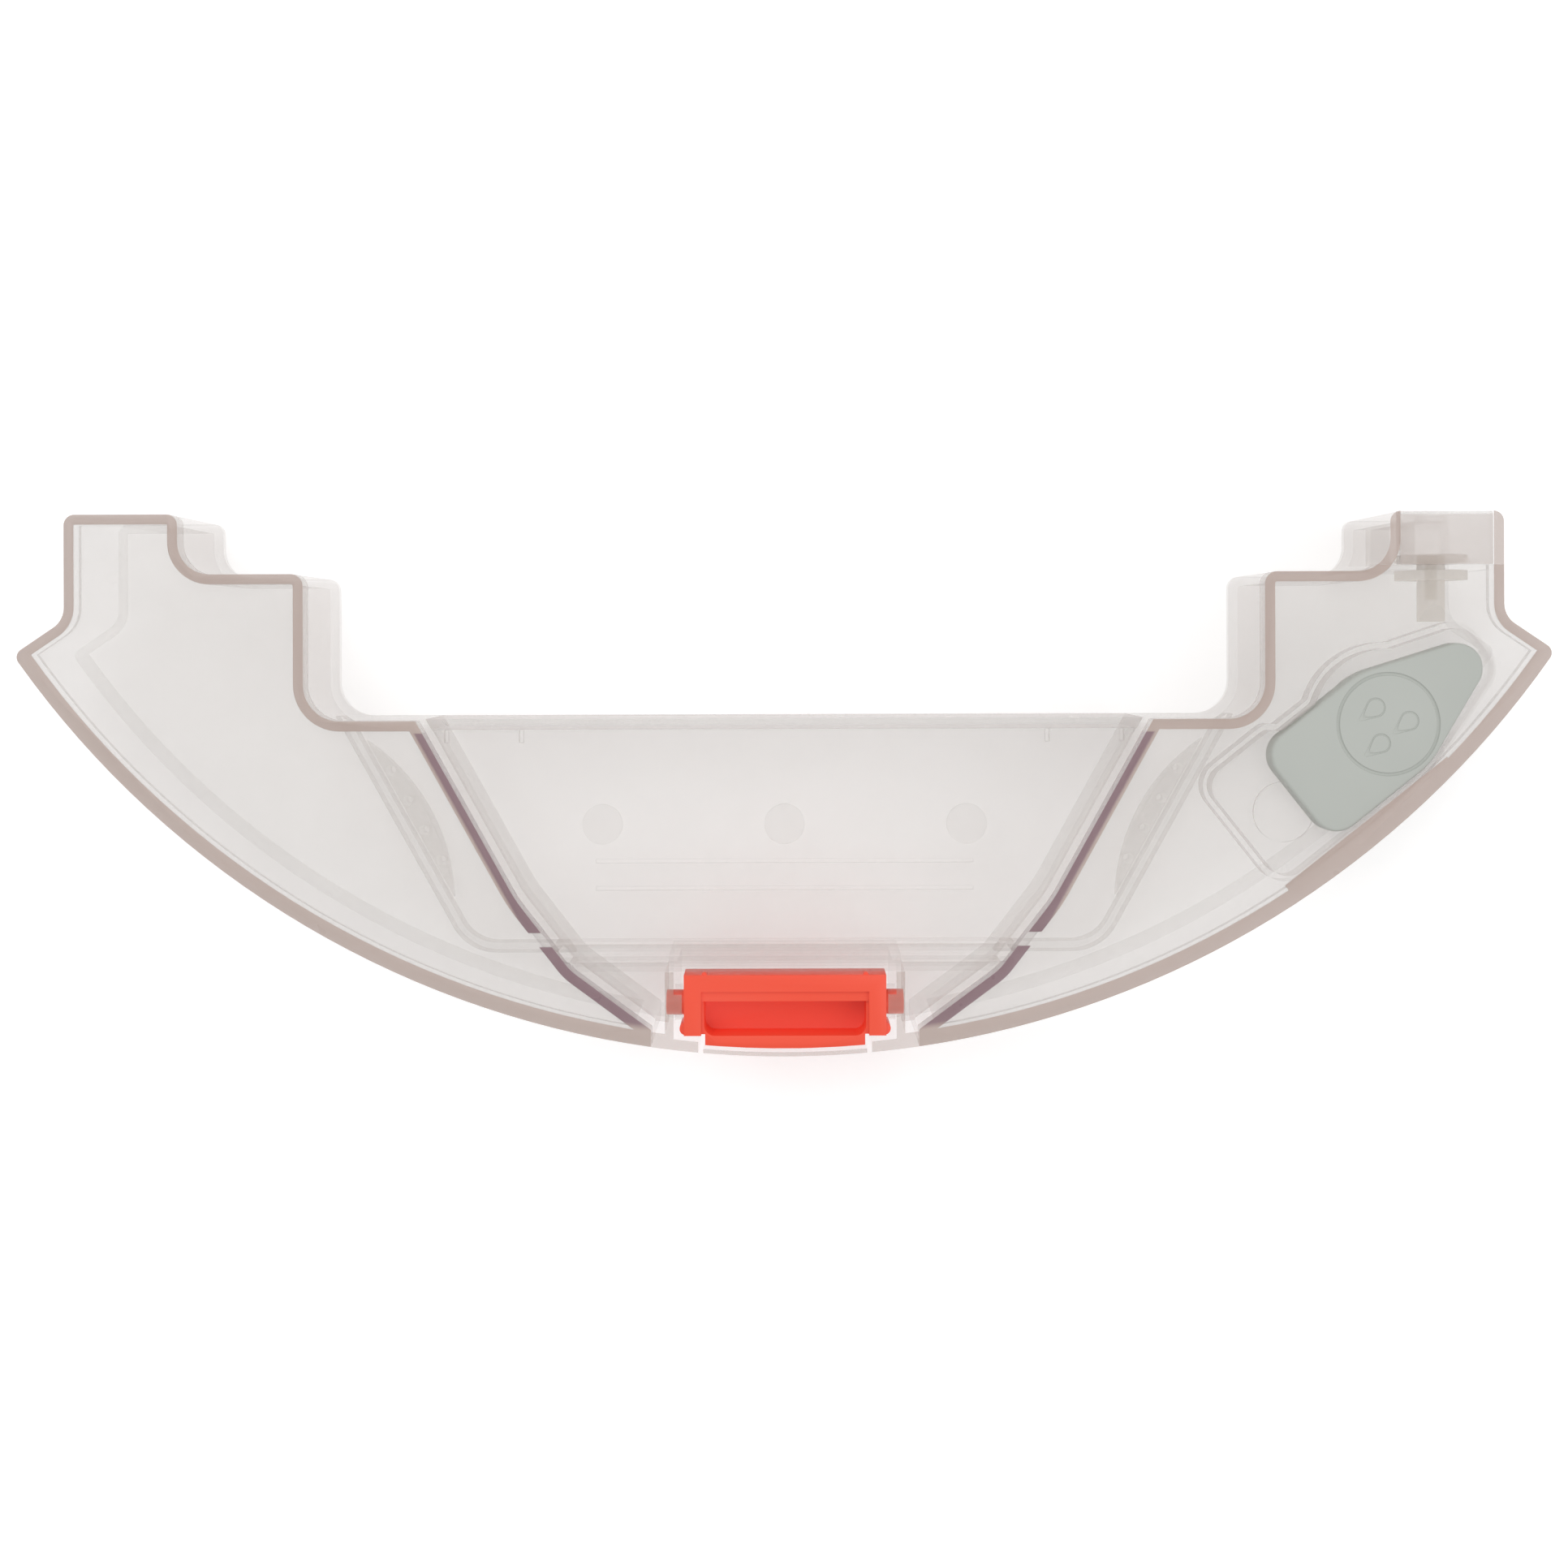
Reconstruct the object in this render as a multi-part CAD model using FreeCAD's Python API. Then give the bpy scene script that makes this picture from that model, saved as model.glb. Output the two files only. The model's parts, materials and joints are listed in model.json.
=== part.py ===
import FreeCAD, Part
import math
import os
from FreeCAD import Vector

# Water tank of a round robot vacuum. Millimetres, seen from above: +X right, +Y to the robot's
# front, +Z up through the covers. The origin is under the middle of the tank, on its flat base.

# Outline
OUTER_RADIUS = 175.0        # rear edge, the radius of the robot's body
TANK_DEPTH = 101.4          # front of the columns to the rear edge
TANK_HEIGHT = 27.0
TIP_X = 143.8               # where the slanted shoulder meets the rear arc
SHOULDER_ANGLE = 34.0
COLUMN_OUTER_X = 134.3
COLUMN_INNER_X = 113.1
STEP_X = 89.7
STEP_BACK = 11.2            # the step lies this far behind the columns' front
FRONT_BACK = 38.7           # and so does the front edge of the middle part
TIP_R = 1.7
SHOULDER_R = 4.5
COLUMN_R = 2.0
STEP_INNER_R = 6.0
STEP_OUTER_R = 2.3
NOTCH_R = 6.8
OVERREACH = 8.0             # outlines run on past the tips before the rear arc cuts them

# Moulded walls
FLOOR_T = 2.0
WALL_T = 1.9
REAR_WALL_T = 2.8
SEAM_DEPTH = 3.5            # the covers' skirts meet the walls this far below the top
BASE_EDGE_R = 0.8
BASE_SPLIT = 2.0            # the base divides this far in from the end of the notch's arc

# Inner walls of the lobes, from the front corner round to the rear wall. Every size that ends in
# REAR in this list is a distance in front of the rear edge.
INNER_CORNER_X = 68.8
INNER_BEND_X, INNER_BEND_REAR, INNER_BEND_R = 50.2, 29.2, 30.0
INNER_KNEE_X, INNER_KNEE_REAR, INNER_KNEE_R = 40.0, 16.1, 10.0
TAIL_ANGLE = 36.5
TAIL_END_X = 25.0

# Lobe covers
RIM_H = 0.4                 # the rim stands this far above the plate
PLATE_T = 1.8
SEAM_GAP = 0.02

# Middle deck
DECK_DEPTH = 9.0            # the deck lies this far below the covers
DECK_T = 2.0
DECK_GAP = 0.05
LIP_H = 0.6
LIP_T = 2.1
PAD_PITCH, PAD_REAR = 35.2, 42.1
PAD_R, PAD_H = 3.9, 0.5
GATE_REAR, GATE_R, GATE_H = 31.7, 0.8, 0.25
HUB_REAR, HUB_R = 48.5, 2.2
RIB_X = (50.3, 64.6)
RIB_T, RIB_L, RIB_H = 0.8, 2.4, 1.6

# Cross channel, the raised hump that joins the two lobes
CHANNEL_REAR = 20.5
CHANNEL_INNER_W = 2.3
CHANNEL_WALL_T = 1.2
CHANNEL_ROOF_T = 1.4
RIM_BREAK_L = 2.6

# Dam on the floor of each lobe, and the water outlet beside it
DAM_FROM_INNER = 16.2
DAM_T = 2.0
DAM_H = 3.6
DAM_BEND_R = 9.0
DAM_END_REAR = 16.4
OUTLET_PITCH = 6.9
OUTLET_COUNT = 4
OUTLET_HOLE_R = 0.7
OUTLET_FROM_DAM = 1.9
OUTLET_MID = 24.5           # middle of the outlet, along the dam from the front edge
LEAF_L, LEAF_W = 37.0, 5.2
LEAF_GAP = 0.15
PAD_T = 1.0
FRAME_T = 1.5
CUP_R = 1.75
CLOTH_RIB_REAR = (33.2, 27.7)
CLOTH_RIB_L, CLOTH_RIB_W, CLOTH_RIB_H = 76.0, 0.8, 0.8

# Filler flap, in its own frame: u runs from the finger end to the nose, v across
FLAP_FROM_ARC = 16.0        # its origin lies this far inside the rear arc
FLAP_BEARING = 37.0         # and at this angle from the rearmost point, seen from the arc's centre
FLAP_TURN = 1.3             # the flap's run, turned from the arc's tangent there
FLAP_W = 21.8
FLAP_L = 43.4
FLAP_STRAIGHT = 23.5
FLAP_TAPER = 21.0
FLAP_CORNER_R = 5.0
FLAP_NOSE_R = 4.6
FLAP_T = 3.4
FLAP_EDGE_R = 0.5
FLAP_HINGE_U = 38.9
FLAP_HINGE_GAP = 0.2
FLAP_SEAT_GAP = 0.3
RECESS_DEPTH = 3.9
RECESS_FLOOR_T = 1.5
RECESS_WALL_T = 1.2
RECESS_GAP = 0.5
NOSE_GAP, NOSE_GAP_WIDE = 1.3, 2.5
RECESS_BLEND_R = 2.0
BULGE_R = 14.1
SCOOP_L = 12.1
SCOOP_SIDE, SCOOP_SIDE_WIDE = 0.4, 2.0
SCOOP_CORNER_R = 4.0
DISH_U, DISH_V, DISH_R, DISH_DEPTH = -3.0, -1.7, 5.7, 0.7
EMBLEM_U = 21.9
EMBLEM_R = 9.4
EMBLEM_LINE = 0.35
BORE_R = 9.0
BORE_COLLAR_T = 1.3
BORE_COLLAR_H = 1.4
NECK_R, NECK_TIP_R = 8.6, 8.0
NECK_H = 3.6
NECK_WALL = 1.6

# Air inlet in the right column
PARTITION_AHEAD = 0.4       # in front of the step
PARTITION_T = 1.6
VALVE_FROM_SIDE = 9.7
VALVE_DROP = 10.0           # valve axis below the top of the tank
VALVE_FLANGE_R, VALVE_FLANGE_T = 6.6, 1.8
VALVE_STEM_R = 2.55
VALVE_STEM_L = 8.0
VALVE_BILL_L = 3.2
VALVE_BILL_T = 0.9
VALVE_FIT = 0.05
VALVE_PORT_R = 1.1
RETAINER_T = 1.3
INLET_R = 3.0
CAP_DROP = 0.2
CAP_EDGE_R = 0.8
VENT_RIB_FROM_SIDE, VENT_RIB_T = 4.9, 1.0

# Latch
BAY_HALF_W = 20.8
BAY_WALL_T = 1.6
BAY_REAR_T = 2.0
SLOT_X = 16.2
SLOT_W = 0.9
SKIN_T = 0.8
LATCH_HALF_W = 18.9
LATCH_GAP_FRONT = 0.7
LATCH_LIP_GAP = 0.3
LATCH_TOP_DROP = 0.2
LATCH_WALL_T = 1.5
LATCH_SKIRT_H = 6.2
LATCH_BAND = 3.1
LATCH_STEP = 1.9
LATCH_STEP_DROP = 0.7
RECESS_HALF_W = 15.7
FINGER_HALF_W = 15.2
FINGER_CORNER_R = 2.0
FINGER_DEPTH = 7.2
LIP_DROP = 1.4
LIP_W = 1.7
ARM_END_REAR = 3.8
FOOT_R = 1.2
BUMP_R, BUMP_X = 0.5, 15.1
PIVOT_REAR = 9.6
PIVOT_R = 2.3
PIVOT_DROP = 2.9            # pivot axis below the top of the tank
PIVOT_CLEAR = 0.06
PIVOT_PAD_R = 3.3
PIVOT_PAD_GAP = 0.35
PIVOT_END_GAP = 0.2
SPRING_X, SPRING_REAR = 9.0, 5.5
SPRING_R, WIRE_R, SPRING_TURNS = 2.3, 0.35, 6.5
SPRING_POST_R, SPRING_POST_H = 1.5, 3.0
SPRING_SEAT_GAP = 0.05

COLUMN_TOP_Y = TANK_DEPTH / 2
REAR_Y = -TANK_DEPTH / 2
CENTRE_Y = REAR_Y + OUTER_RADIUS
STEP_Y = COLUMN_TOP_Y - STEP_BACK
FRONT_Y = COLUMN_TOP_Y - FRONT_BACK
PARTITION_Y = STEP_Y + PARTITION_AHEAD
INNER_BEND_Y = REAR_Y + INNER_BEND_REAR
INNER_KNEE_Y = REAR_Y + INNER_KNEE_REAR
DAM_END_Y = REAR_Y + DAM_END_REAR
CHANNEL_Y = REAR_Y + CHANNEL_REAR
ARM_END_Y = REAR_Y + ARM_END_REAR
PIVOT_Y = REAR_Y + PIVOT_REAR
SPRING_Y = REAR_Y + SPRING_REAR
SEAM_Z = TANK_HEIGHT - SEAM_DEPTH
PLATE_Z = TANK_HEIGHT - RIM_H
DECK_Z = TANK_HEIGHT - DECK_DEPTH
CHANNEL_REAR_Y = CHANNEL_Y - 2 * CHANNEL_WALL_T - CHANNEL_INNER_W
RECESS_Z = PLATE_Z - RECESS_DEPTH
FLAP_TOP_Z = RECESS_Z + FLAP_SEAT_GAP + FLAP_T
LATCH_TOP_Z = TANK_HEIGHT - LATCH_TOP_DROP
PIVOT_Z = TANK_HEIGHT - PIVOT_DROP
FINGER_Z = LATCH_TOP_Z - FINGER_DEPTH
VALVE_X = COLUMN_OUTER_X - VALVE_FROM_SIDE
VALVE_Z = TANK_HEIGHT - VALVE_DROP
SPLIT_ANGLE = math.atan2(STEP_X - NOTCH_R - BASE_SPLIT, CENTRE_Y - FRONT_Y)
WALL_Z = FLOOR_T + SEAM_GAP # foot of every wall that stands on the base
FLAP_ANGLE = FLAP_BEARING + FLAP_TURN
FLAP_X = (OUTER_RADIUS - FLAP_FROM_ARC) * math.sin(math.radians(FLAP_BEARING))
FLAP_Y = CENTRE_Y - (OUTER_RADIUS - FLAP_FROM_ARC) * math.cos(math.radians(FLAP_BEARING))
ABOVE = TANK_HEIGHT + 5.0   # cuts that leave through the top end here
FAR = OUTER_RADIUS          # beyond every outline


def arc_y(x, radius=OUTER_RADIUS):
    """The rear arc's Y at X, for the outer face or one inside it."""
    return CENTRE_Y - math.sqrt(radius**2 - x**2)


def rounded_face(corners):
    """A flat face from (x, y, radius) corners, with an arc at each corner that has a radius."""
    starts, ends, arcs = [], [], []
    count = len(corners)
    for i, (x, y, radius) in enumerate(corners):
        here = Vector(x, y, 0)
        before = Vector(corners[i - 1][0], corners[i - 1][1], 0) - here
        after = Vector(corners[(i + 1) % count][0], corners[(i + 1) % count][1], 0) - here
        half = before.getAngle(after) / 2
        reach = radius / math.tan(half) if radius else 0
        before.normalize()
        after.normalize()
        starts.append(here + before * reach)
        ends.append(here + after * reach)
        if radius:
            middle = before + after
            middle.normalize()
            arcs.append(here + middle * (radius / math.sin(half) - radius))
        else:
            arcs.append(None)
    edges = []
    for i in range(count):
        if arcs[i]:
            edges.append(Part.Arc(starts[i], arcs[i], ends[i]).toShape())
        following = starts[(i + 1) % count]
        if (following - ends[i]).Length > 1e-6:
            edges.append(Part.LineSegment(ends[i], following).toShape())
    return Part.Face(Part.Wire(edges))


def prism(face, low, high):
    solid = face.extrude(Vector(0, 0, high - low))
    solid.translate(Vector(0, 0, low))
    return solid


def block(x0, x1, y0, y1, z0, z1):
    return Part.makeBox(x1 - x0, y1 - y0, z1 - z0, Vector(x0, y0, z0))


def disc(radius, low, high, x=0.0, y=CENTRE_Y):
    return Part.makeCylinder(radius, high - low, Vector(x, y, low))


def tube(outer, inner, low, high, x, y):
    return disc(outer, low, high, x, y).cut(disc(inner, low - 1, high + 1, x, y))


def mirrored(shape):
    return shape.mirror(Vector(0, 0, 0), Vector(1, 0, 0))


def shoulder_corners():
    """Corners of the left side from the rear arc forward and in to the notch."""
    slope = math.tan(math.radians(SHOULDER_ANGLE))
    tip_y = arc_y(TIP_X)
    return [
        (-TIP_X - OVERREACH, tip_y - OVERREACH * slope, 0),
        (-COLUMN_OUTER_X, tip_y + (TIP_X - COLUMN_OUTER_X) * slope, SHOULDER_R),
        (-COLUMN_OUTER_X, COLUMN_TOP_Y, COLUMN_R),
        (-COLUMN_INNER_X, COLUMN_TOP_Y, COLUMN_R),
        (-COLUMN_INNER_X, STEP_Y, STEP_INNER_R),
        (-STEP_X, STEP_Y, STEP_OUTER_R),
        (-STEP_X, FRONT_Y, NOTCH_R),
    ]


def round_tips(solid):
    """Rounds the upright edge where each shoulder meets the rear arc."""
    tip_y = arc_y(TIP_X)
    edges = []
    for edge in solid.Edges:
        point = edge.CenterOfMass
        if abs(abs(point.x) - TIP_X) < 0.3 and abs(point.y - tip_y) < 0.3 and edge.Length > 1:
            if abs(edge.tangentAt(edge.FirstParameter).z) > 0.9:
                edges.append(edge)
    return solid.makeFillet(TIP_R, edges)


def tank_prism(low, high):
    """The whole outline of the tank, upright between two heights."""
    left = shoulder_corners()
    right = [(-x, y, r) for x, y, r in reversed(left)]
    reach = TIP_X + OVERREACH
    outline = left + right + [(reach, -FAR, 0), (-reach, -FAR, 0)]
    return round_tips(prism(rounded_face(outline), low, high).common(disc(OUTER_RADIUS, low, high)))


def lobe_prism(low, high):
    """The left lobe's outline, upright between two heights."""
    tail_slope = math.tan(math.radians(TAIL_ANGLE))
    corners = shoulder_corners() + [
        (-INNER_CORNER_X, FRONT_Y, 0),
        (-INNER_BEND_X, INNER_BEND_Y, INNER_BEND_R),
        (-INNER_KNEE_X, INNER_KNEE_Y, INNER_KNEE_R),
        (-TAIL_END_X, INNER_KNEE_Y - (INNER_KNEE_X - TAIL_END_X) * tail_slope, 0),
        (-TAIL_END_X, -FAR, 0),
        (-TIP_X - OVERREACH, -FAR, 0),
    ]
    return round_tips(prism(rounded_face(corners), low, high).common(disc(OUTER_RADIUS, low, high)))


def flat_face_at(solid, z):
    """The solid's flat face that lies at height z."""
    faces = [f for f in solid.Faces if abs(f.CenterOfMass.z - z) < 1e-4 and abs(f.BoundBox.ZLength) < 1e-4]
    return max(faces, key=lambda f: f.Area)


def inset_prism(low, high, wall, rear_wall):
    """The space inside the left lobe's walls."""
    face = flat_face_at(lobe_prism(low, high), low)
    inner = face.makeOffset2D(-wall)
    inner.translate(Vector(0, 0, -low))
    solid = prism(Part.Face(inner.OuterWire), low, high)
    return largest(solid.common(disc(OUTER_RADIUS - rear_wall, low, high)))


def largest(shape):
    return max(shape.Solids, key=lambda s: s.Volume)


def joined(shapes):
    result = shapes[0]
    if len(shapes) > 1:
        result = result.fuse(shapes[1:])
    return result.removeSplitter()


def inner_direction():
    """Unit vector along the straight run of the left lobe's inner wall, front to rear."""
    run = Vector(INNER_CORNER_X - INNER_BEND_X, INNER_BEND_Y - FRONT_Y, 0)
    run.normalize()
    return run


def dam_frame():
    """Start of the dam's middle line on the front edge, its direction, and its normal to the middle."""
    along = inner_direction()
    across = Vector(-along.y, along.x, 0)
    start = Vector(-INNER_CORNER_X, FRONT_Y, 0) - across * (DAM_FROM_INNER + DAM_T / 2)
    start = start + along * ((FRONT_Y - start.y) / along.y)
    return start, along, across


def dam():
    """The low wall on a lobe's floor: straight beside the outlet, then curved to the inner wall."""
    start, along, across = dam_frame()
    bend = start + along * ((DAM_END_Y - start.y) / along.y)
    half = DAM_T / 2
    lean = half / abs(along.y)
    turn = half * (1 - along.x) / abs(along.y)
    near = [(start.x + lean, start.y, 0), (bend.x + turn, bend.y + half, DAM_BEND_R - half)]
    far = [(bend.x - turn, bend.y - half, DAM_BEND_R + half), (start.x - lean, start.y, 0)]
    end = -INNER_KNEE_X
    corners = near + [(end, bend.y + half, 0), (end, bend.y - half, 0)] + far
    wall = prism(rounded_face(corners), WALL_Z, FLOOR_T + DAM_H)
    return wall.common(inset_prism(0, ABOVE, WALL_T + SEAM_GAP, REAR_WALL_T))


def outlet_origin():
    """Middle of the outlet on the dam's face, and the directions along it and away from it."""
    start, along, across = dam_frame()
    return start + along * OUTLET_MID + across * (DAM_T / 2), along, across


def outlet_points():
    origin, along, across = outlet_origin()
    first = -(OUTLET_COUNT - 1) / 2 * OUTLET_PITCH
    row = origin + across * OUTLET_FROM_DAM
    return [row + along * (first + i * OUTLET_PITCH) for i in range(OUTLET_COUNT)]


def leaf_prism(gap, low, high):
    """The outlet's plan, a straight side along the dam and a bow on the other."""
    origin, along, across = outlet_origin()
    half = LEAF_L / 2 - gap
    base = origin + across * gap
    ends = [base - along * half, base + along * half]
    crown = origin + across * (LEAF_W - gap)
    bow = Part.Arc(ends[1], crown, ends[0]).toShape()
    side = Part.LineSegment(ends[0], ends[1]).toShape()
    return prism(Part.Face(Part.Wire([side, bow])), low, high)


def outlet_pad():
    low = FLOOR_T + SEAM_GAP
    return leaf_prism(LEAF_GAP + 0.3, low, low + PAD_T)


def outlet_frame():
    """A thin rimmed strainer that holds the pad down, with a cup over each outlet hole."""
    low = FLOOR_T + 2 * SEAM_GAP + PAD_T
    frame = leaf_prism(LEAF_GAP, low, low + FRAME_T)
    frame = frame.cut(leaf_prism(LEAF_GAP + 0.8, low + FRAME_T / 2, ABOVE))
    cups, mouths = [], []
    for point in outlet_points():
        cups.append(disc(CUP_R, low, low + FRAME_T, point.x, point.y))
        mouths.append(disc(CUP_R - 0.6, low - 1, low + FRAME_T + 1, point.x, point.y))
    frame = frame.fuse([cup.common(leaf_prism(LEAF_GAP, low, low + FRAME_T)) for cup in cups])
    return frame.cut(mouths).removeSplitter()


def channel_window():
    """Cuts the left lobe's inner wall open where the cross channel meets it."""
    rear = CHANNEL_Y - CHANNEL_WALL_T - CHANNEL_INNER_W
    return block(-INNER_BEND_X, -INNER_KNEE_X + 4, rear, CHANNEL_Y - CHANNEL_WALL_T,
                 DECK_Z + 1, PLATE_Z - PLATE_T)


def latch_bay():
    """The walls of the latch bay, with the rear wall from each lobe to the slot beside the skin."""
    rear = arc_y(0) - 1
    parts = []
    for side in (-1, 1):
        x0, x1 = sorted((side * BAY_HALF_W, side * (BAY_HALF_W + BAY_WALL_T)))
        parts.append(block(x0, x1, rear, CHANNEL_REAR_Y - DECK_GAP, WALL_Z, TANK_HEIGHT))
        pad = Part.makeCylinder(PIVOT_PAD_R, BAY_HALF_W - LATCH_HALF_W - PIVOT_PAD_GAP,
                                Vector(side * BAY_HALF_W, PIVOT_Y, PIVOT_Z), Vector(-side, 0, 0))
        parts.append(pad.common(block(-FAR, FAR, -FAR, FAR, 0, TANK_HEIGHT)))
    reach = BAY_HALF_W + BAY_WALL_T
    parts.append(block(-reach, reach, CHANNEL_REAR_Y - 2 * DECK_GAP, CHANNEL_REAR_Y + CHANNEL_WALL_T,
                       WALL_Z, DECK_Z - DECK_T - DECK_GAP))
    bay = joined(parts + [rear_wall()]).common(disc(OUTER_RADIUS, 0, ABOVE))
    bay = bay.cut([beside_lobe(), mirrored(beside_lobe())])
    return largest(bay.cut(pivot_bores()))


def rear_wall():
    """The rear wall between the lobes, thinner inside the bay and open behind the latch."""
    wall = disc(OUTER_RADIUS, WALL_Z, TANK_HEIGHT).cut(disc(OUTER_RADIUS - REAR_WALL_T, 0, ABOVE))
    wall = wall.common(block(-INNER_KNEE_X, INNER_KNEE_X, -FAR, 0, WALL_Z, TANK_HEIGHT))
    bay = block(-BAY_HALF_W, BAY_HALF_W, -FAR, 0, 0, ABOVE)
    bay = bay.common(disc(OUTER_RADIUS - BAY_REAR_T, 0, ABOVE))
    return wall.cut([bay, block(-SLOT_X, SLOT_X, -FAR, 0, 0, ABOVE)])


def latch_skin():
    """The thin part of the rear wall behind the latch, with a slot left open at each end."""
    skin = disc(OUTER_RADIUS, WALL_Z, TANK_HEIGHT).cut(disc(OUTER_RADIUS - SKIN_T, 0, ABOVE))
    half = SLOT_X - SLOT_W
    return skin.common(block(-half, half, -FAR, 0, WALL_Z, TANK_HEIGHT))


def beside_lobe():
    """The left lobe's outline with a hair of room round it, for what stands between the lobes."""
    outline = lobe_outline(lobe_prism(0, ABOVE), 0).makeOffset2D(SEAM_GAP)
    return prism(Part.Face(outline.OuterWire), -1, ABOVE)


def pivot_bores():
    return [Part.makeCylinder(PIVOT_R + PIVOT_CLEAR, 2 * (BAY_HALF_W + BAY_WALL_T + 1),
                              Vector(-BAY_HALF_W - BAY_WALL_T - 1, PIVOT_Y, PIVOT_Z), Vector(1, 0, 0))]


def air_chamber_walls():
    """Partition and rib of the right column's air chamber, up to the cover and the cap."""
    top = PLATE_Z - PLATE_T - SEAM_GAP
    middle_y = PARTITION_Y + PARTITION_T / 2
    partition = block(STEP_X, COLUMN_OUTER_X, PARTITION_Y, PARTITION_Y + PARTITION_T, WALL_Z, top)
    partition = partition.cut(Part.makeCylinder(VALVE_STEM_R + VALVE_FIT, PARTITION_T + 2,
                                                Vector(VALVE_X, PARTITION_Y - 1, VALVE_Z), Vector(0, 1, 0)))
    rib_x = COLUMN_INNER_X + VENT_RIB_FROM_SIDE
    rib = block(rib_x - VENT_RIB_T / 2, rib_x + VENT_RIB_T / 2, middle_y, COLUMN_TOP_Y, WALL_Z, top)
    rib = rib.cut(Part.makeCylinder(VALVE_FLANGE_R + 1, COLUMN_TOP_Y,
                                    Vector(VALVE_X, 0, VALVE_Z), Vector(0, 1, 0)))
    low_space = mirrored(inset_prism(0, SEAM_Z, WALL_T / 2, REAR_WALL_T))
    top_space = mirrored(inset_prism(SEAM_Z, top, WALL_T + SEAM_GAP, REAR_WALL_T))
    walls = partition.fuse(rib)
    return [walls.common(low_space), walls.common(top_space)]


def air_inlet():
    return Part.makeCylinder(INLET_R, WALL_T + 2, Vector(VALVE_X, COLUMN_TOP_Y + 1, VALVE_Z),
                             Vector(0, -1, 0))


def column_walls():
    """The right column's walls above the seam, where the cap and not the cover closes it."""
    top = mirrored(lobe_prism(SEAM_Z, TANK_HEIGHT))
    inner = mirrored(inset_prism(SEAM_Z - 1, ABOVE, WALL_T, REAR_WALL_T))
    zone = block(COLUMN_INNER_X - STEP_INNER_R, COLUMN_OUTER_X + 1, PARTITION_Y + PARTITION_T / 2,
                 COLUMN_TOP_Y + 1, SEAM_Z, TANK_HEIGHT)
    walls = top.cut(inner).common(zone)
    return walls.cut(block(COLUMN_INNER_X + WALL_T, COLUMN_OUTER_X - WALL_T, PARTITION_Y,
                           COLUMN_TOP_Y + 1, PLATE_Z - PLATE_T - SEAM_GAP, ABOVE))


def base_edges(solid):
    """The edges of the base, rounded along the outline."""
    rim = [e for e in solid.Edges if e.BoundBox.ZMax < 1e-3]
    outer = flat_face_at(solid, 0).OuterWire
    return [e for e in rim if any(e.isSame(w) for w in outer.Edges)]


def base_floor():
    """The floor of the whole tank, with its rounded lower edge and the outlet holes."""
    floor = tank_prism(0, FLOOR_T)
    floor = floor.makeFillet(BASE_EDGE_R, base_edges(floor))
    holes = []
    for point in outlet_points():
        for sign in (-1, 1):
            holes.append(disc(OUTLET_HOLE_R, -1, FLOOR_T + 1, sign * point.x, point.y))
    return floor.cut(holes)


def sector(angle):
    """A wedge about the rear arc's centre, out to this angle on both sides of the rearmost point."""
    rear = CENTRE_Y - 2 * OUTER_RADIUS
    reach = 2 * OUTER_RADIUS * math.tan(angle)
    return prism(rounded_face([(0, CENTRE_Y, 0), (-reach, rear, 0), (reach, rear, 0)]), -1, ABOVE)


def base_plate(floor):
    """The middle of the base, with its two low ribs and the spring posts."""
    parts = [floor.common(sector(SPLIT_ANGLE))]
    for distance in CLOTH_RIB_REAR:
        y = REAR_Y + distance
        parts.append(block(-CLOTH_RIB_L / 2, CLOTH_RIB_L / 2, y - CLOTH_RIB_W / 2, y + CLOTH_RIB_W / 2,
                           FLOOR_T / 2, FLOOR_T + CLOTH_RIB_H))
    for side in (-1, 1):
        parts.append(disc(SPRING_POST_R, FLOOR_T / 2, FLOOR_T + SPRING_POST_H, side * SPRING_X, SPRING_Y))
    return joined(parts)


def side_bases(floor):
    """The left and right parts of the base, outward of the middle."""
    sides = floor.cut(sector(SPLIT_ANGLE + SEAM_GAP / OUTER_RADIUS)).Solids
    return sorted(sides, key=lambda s: s.CenterOfMass.x)


def lobe_shell():
    """The upright wall round the left lobe, from the base up to the cover's seam."""
    wall = lobe_prism(WALL_Z, SEAM_Z).cut(inset_prism(0, ABOVE, WALL_T, REAR_WALL_T))
    return wall.cut(channel_window())


def right_shell():
    """The right lobe's wall up to the air chamber."""
    return mirrored(lobe_shell()).cut(block(-FAR, FAR, PARTITION_Y - SEAM_GAP, FAR, 0, ABOVE))


def right_column():
    """The air chamber in the right column: its walls, the partition and the inlet."""
    walls = mirrored(lobe_shell()).common(block(-FAR, FAR, PARTITION_Y, FAR, 0, ABOVE))
    return joined([walls, column_walls()] + air_chamber_walls()).cut(air_inlet())


def front_wall():
    """The low wall along the front of the middle part, up to a small lip above the deck."""
    wall = block(-INNER_CORNER_X - WALL_T, INNER_CORNER_X + WALL_T, FRONT_Y - LIP_T, FRONT_Y,
                 WALL_Z, DECK_Z + LIP_H)
    return largest(wall.cut([beside_lobe(), mirrored(beside_lobe())]))


def lobe_cover():
    """A welded cover with a raised rim and a skirt down to the seam."""
    low = SEAM_Z + SEAM_GAP
    cover = lobe_prism(low, TANK_HEIGHT)
    cover = cover.cut(inset_prism(low - 1, PLATE_Z - PLATE_T, WALL_T, REAR_WALL_T))
    cover = cover.cut(inset_prism(PLATE_Z, ABOVE, WALL_T, REAR_WALL_T))
    cover = cover.cut(channel_window())
    rim_break = block(-INNER_BEND_X, -INNER_KNEE_X + 2, CHANNEL_Y, CHANNEL_Y + RIM_BREAK_L, PLATE_Z, ABOVE)
    return cover.cut(rim_break)


def in_flap_frame(shape):
    shape.rotate(Vector(0, 0, 0), Vector(0, 0, 1), FLAP_ANGLE)
    shape.translate(Vector(FLAP_X, FLAP_Y, 0))
    return shape


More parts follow.
